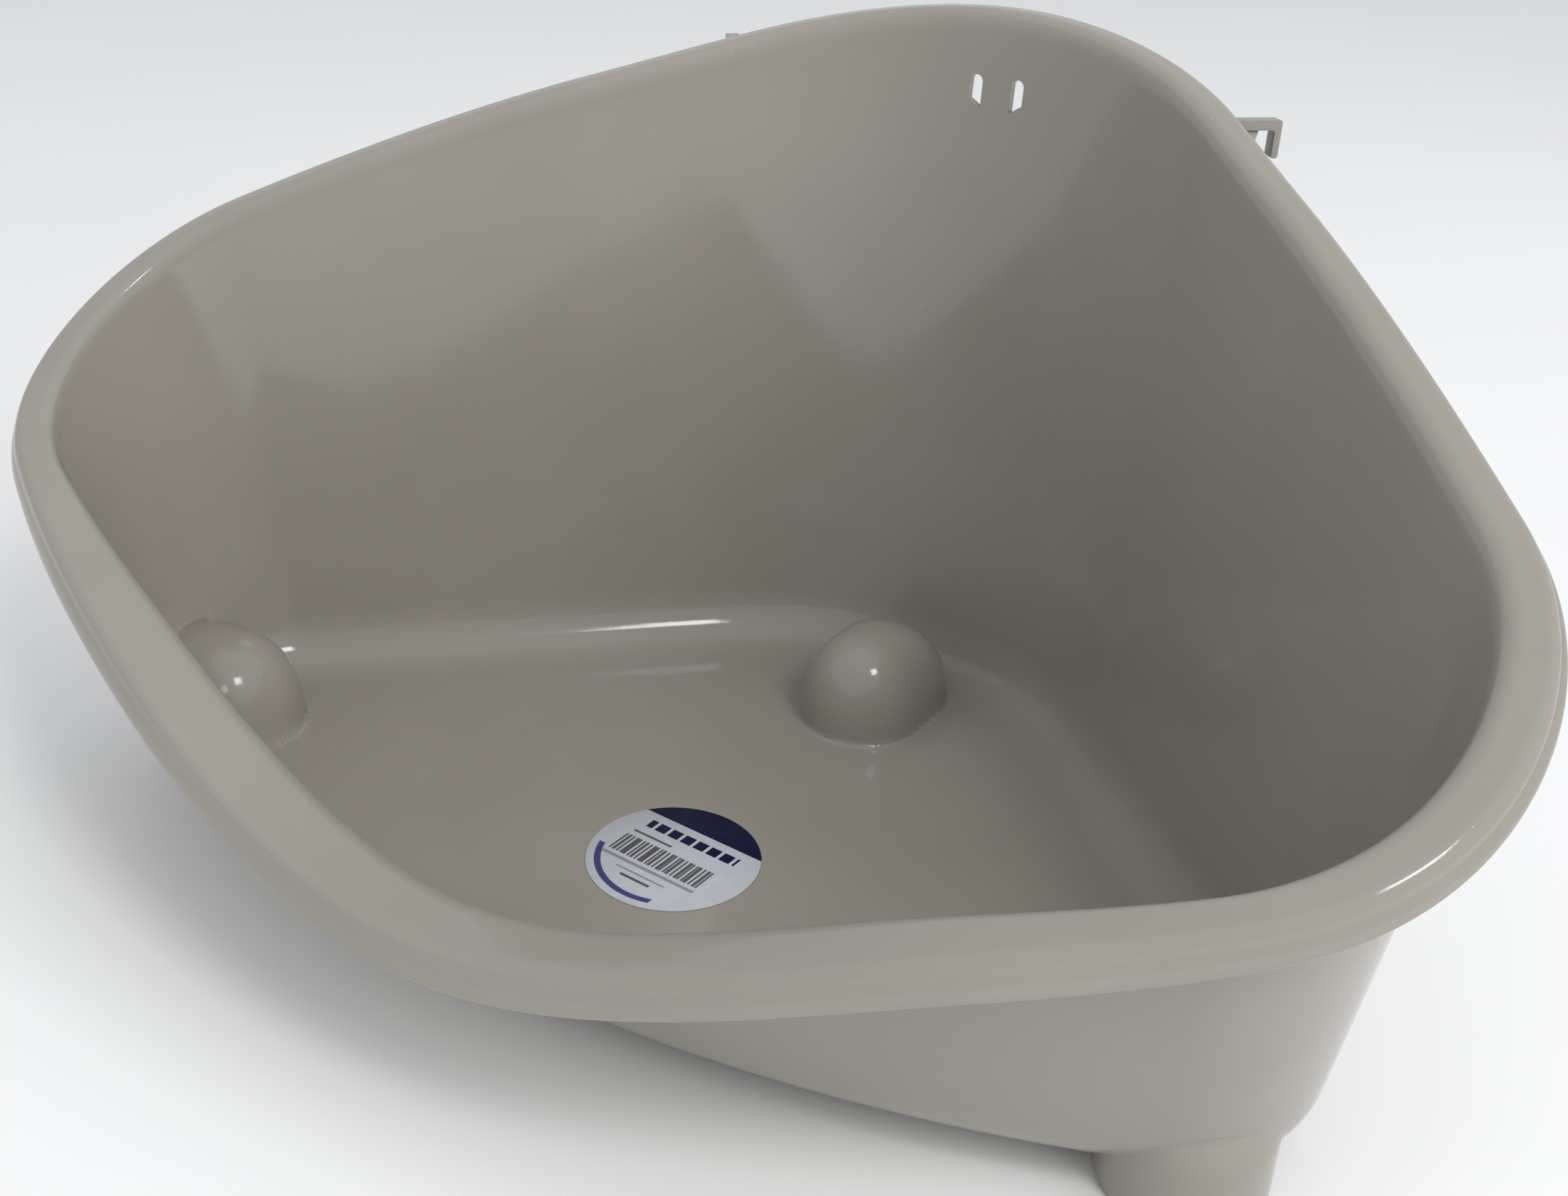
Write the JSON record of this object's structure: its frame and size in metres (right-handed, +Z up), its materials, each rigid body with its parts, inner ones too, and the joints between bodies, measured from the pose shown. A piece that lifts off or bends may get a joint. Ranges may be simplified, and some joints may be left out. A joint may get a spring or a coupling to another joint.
{
  "type": "corner litter tray",
  "caption": "Triangular moulded corner litter tray with a tall back corner, a low rolled front lip, dome feet, slots and plug-in cage hooks.",
  "frame": {"origin": "centre of the tray's outline at the plane of its feet", "axes": "+X along the front side, +Y towards the tall back corner, +Z up"},
  "size_m": [0.4902, 0.3358, 0.26],
  "materials": {
    "tub_plastic": "glossy warm grey",
    "hook_plastic": "satin warm grey",
    "label_film": "smooth printed film"
  },
  "bodies": {
    "tray": {"tub": "tub_plastic", "label": "label_film"},
    "hook_l": {"hook_left": "hook_plastic"},
    "hook_r": {"hook_right": "hook_plastic"}
  },
  "joints": [
    {"name": "hook_left_slide", "type": "slide", "parent": "tray", "child": "hook_l", "axis": [-0.7071, 0.7071, 0], "range_m": [0, 0.013]},
    {"name": "hook_right_slide", "type": "slide", "parent": "tray", "child": "hook_r", "axis": [0.7071, 0.7071, 0], "range_m": [0, 0.013]}
  ]
}
